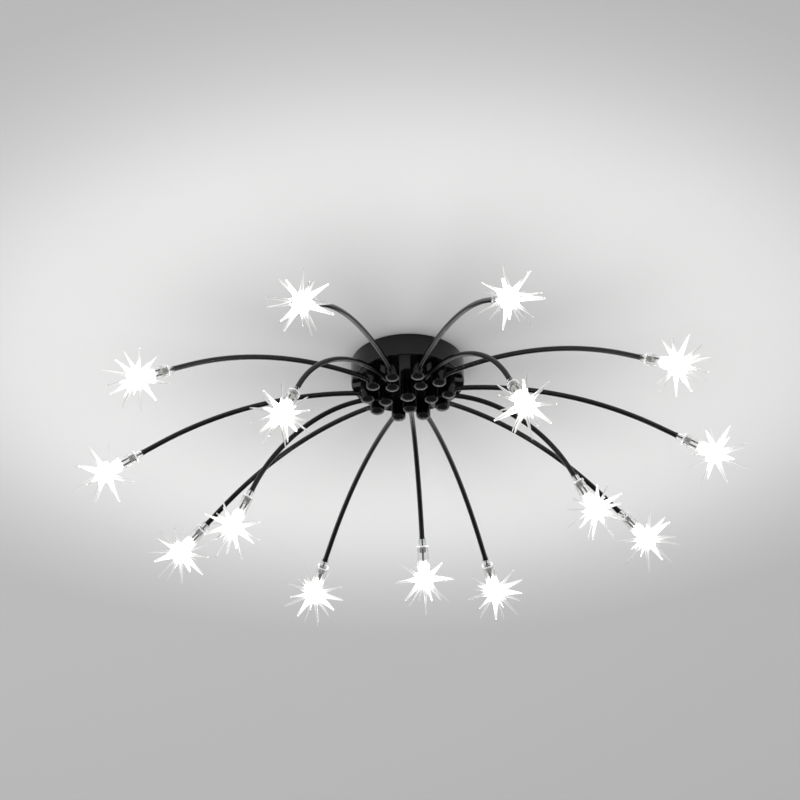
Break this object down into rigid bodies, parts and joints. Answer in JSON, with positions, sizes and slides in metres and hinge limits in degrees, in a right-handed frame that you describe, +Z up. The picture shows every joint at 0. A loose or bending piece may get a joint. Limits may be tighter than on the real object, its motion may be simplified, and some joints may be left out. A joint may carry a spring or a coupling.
{
  "type": "ceiling light",
  "caption": "Semi-flush spider ceiling light: black drum canopy, bent tube arms that turn on domed posts, and a lit clear glass star on the end of each arm.",
  "frame": {"origin": "centre of the ceiling screws on the top face of the ceiling plate, in the plane of the ceiling", "axes": "+Z up into the ceiling, the light hangs along -Z, the picture looks along +Y and up"},
  "size_m": [0.9525, 0.9121, 0.2514],
  "materials": {
    "black_steel": "satin black paint on steel",
    "zinc_steel": "zinc-plated steel",
    "brass": "plain brass",
    "black_rubber": "moulded rubber",
    "black_nylon": "nylon washer",
    "white_plastic": "moulded plastic",
    "board_green": "coated circuit board",
    "clear_plastic": "clear acrylic moulding",
    "star_glass": "clear cast glass, lit from inside"
  },
  "bodies": {
    "fixture": {"ceiling_plate": "zinc_steel", "cable_bush": "black_rubber", "centre_rod": "zinc_steel", "rod_nuts": "zinc_steel", "led_driver": "white_plastic", "plate_screws": "zinc_steel", "terminal_block": "white_plastic", "terminal_screws": "brass", "earth_screw": "brass", "wiring_board": "board_green", "canopy": "black_steel", "friction_washers": "black_nylon", "lock_nuts": "zinc_steel", "finial": "black_steel", "finial_washer": "black_steel"},
    "lamp_arm_01": {"arm_01": "black_steel", "lampholder_01": "clear_plastic", "star_01": "star_glass"},
    "lamp_arm_02": {"arm_02": "black_steel", "lampholder_02": "clear_plastic", "star_02": "star_glass"},
    "lamp_arm_03": {"arm_03": "black_steel", "lampholder_03": "clear_plastic", "star_03": "star_glass"},
    "lamp_arm_04": {"arm_04": "black_steel", "lampholder_04": "clear_plastic", "star_04": "star_glass"},
    "lamp_arm_05": {"arm_05": "black_steel", "lampholder_05": "clear_plastic", "star_05": "star_glass"},
    "lamp_arm_06": {"arm_06": "black_steel", "lampholder_06": "clear_plastic", "star_06": "star_glass"},
    "lamp_arm_07": {"arm_07": "black_steel", "lampholder_07": "clear_plastic", "star_07": "star_glass"},
    "lamp_arm_08": {"arm_08": "black_steel", "lampholder_08": "clear_plastic", "star_08": "star_glass"},
    "lamp_arm_09": {"arm_09": "black_steel", "lampholder_09": "clear_plastic", "star_09": "star_glass"},
    "lamp_arm_10": {"arm_10": "black_steel", "lampholder_10": "clear_plastic", "star_10": "star_glass"},
    "lamp_arm_11": {"arm_11": "black_steel", "lampholder_11": "clear_plastic", "star_11": "star_glass"},
    "lamp_arm_12": {"arm_12": "black_steel", "lampholder_12": "clear_plastic", "star_12": "star_glass"},
    "lamp_arm_13": {"arm_13": "black_steel", "lampholder_13": "clear_plastic", "star_13": "star_glass"},
    "lamp_arm_14": {"arm_14": "black_steel", "lampholder_14": "clear_plastic", "star_14": "star_glass"},
    "lamp_arm_15": {"arm_15": "black_steel", "lampholder_15": "clear_plastic", "star_15": "star_glass"}
  },
  "joints": [
    {"name": "arm_01_swivel", "type": "hinge", "parent": "fixture", "child": "lamp_arm_01", "pos_m": [0.05788, -0.00374, -0.045], "axis": [0, 0, 1], "range_deg": [-15.5, 4.5]},
    {"name": "arm_02_swivel", "type": "hinge", "parent": "fixture", "child": "lamp_arm_02", "pos_m": [0.04902, 0.03099, -0.045], "axis": [0, 0, 1], "range_deg": [-14.5, 5.5]},
    {"name": "arm_03_swivel", "type": "hinge", "parent": "fixture", "child": "lamp_arm_03", "pos_m": [0.02144, 0.05389, -0.045], "axis": [0, 0, 1], "range_deg": [-15.5, 4.5]},
    {"name": "arm_04_swivel", "type": "hinge", "parent": "fixture", "child": "lamp_arm_04", "pos_m": [-0.01433, 0.0562, -0.045], "axis": [0, 0, 1], "range_deg": [-17, 3]},
    {"name": "arm_05_swivel", "type": "hinge", "parent": "fixture", "child": "lamp_arm_05", "pos_m": [-0.04462, 0.03705, -0.045], "axis": [0, 0, 1], "range_deg": [-12.5, 7.5]},
    {"name": "arm_06_swivel", "type": "hinge", "parent": "fixture", "child": "lamp_arm_06", "pos_m": [-0.05788, 0.00374, -0.045], "axis": [0, 0, 1], "range_deg": [-11, 9]},
    {"name": "arm_07_swivel", "type": "hinge", "parent": "fixture", "child": "lamp_arm_07", "pos_m": [-0.04902, -0.03099, -0.045], "axis": [0, 0, 1], "range_deg": [-10.5, 9.5]},
    {"name": "arm_08_swivel", "type": "hinge", "parent": "fixture", "child": "lamp_arm_08", "pos_m": [-0.02144, -0.05389, -0.045], "axis": [0, 0, 1], "range_deg": [-14, 6]},
    {"name": "arm_09_swivel", "type": "hinge", "parent": "fixture", "child": "lamp_arm_09", "pos_m": [0.01433, -0.0562, -0.045], "axis": [0, 0, 1], "range_deg": [-14.5, 5.5]},
    {"name": "arm_10_swivel", "type": "hinge", "parent": "fixture", "child": "lamp_arm_10", "pos_m": [0.04462, -0.03705, -0.045], "axis": [0, 0, 1], "range_deg": [-18, 2]},
    {"name": "arm_11_swivel", "type": "hinge", "parent": "fixture", "child": "lamp_arm_11", "pos_m": [0.03324, 0.00847, -0.045], "axis": [0, 0, 1], "range_deg": [-9.5, 6.5]},
    {"name": "arm_12_swivel", "type": "hinge", "parent": "fixture", "child": "lamp_arm_12", "pos_m": [0.00221, 0.03423, -0.045], "axis": [0, 0, 1], "range_deg": [-8, 8]},
    {"name": "arm_13_swivel", "type": "hinge", "parent": "fixture", "child": "lamp_arm_13", "pos_m": [-0.03187, 0.01268, -0.045], "axis": [0, 0, 1], "range_deg": [-9, 7]},
    {"name": "arm_14_swivel", "type": "hinge", "parent": "fixture", "child": "lamp_arm_14", "pos_m": [-0.02191, -0.02639, -0.045], "axis": [0, 0, 1], "range_deg": [-9.5, 6.5]},
    {"name": "arm_15_swivel", "type": "hinge", "parent": "fixture", "child": "lamp_arm_15", "pos_m": [0.01833, -0.02899, -0.045], "axis": [0, 0, 1], "range_deg": [-11, 5]}
  ]
}
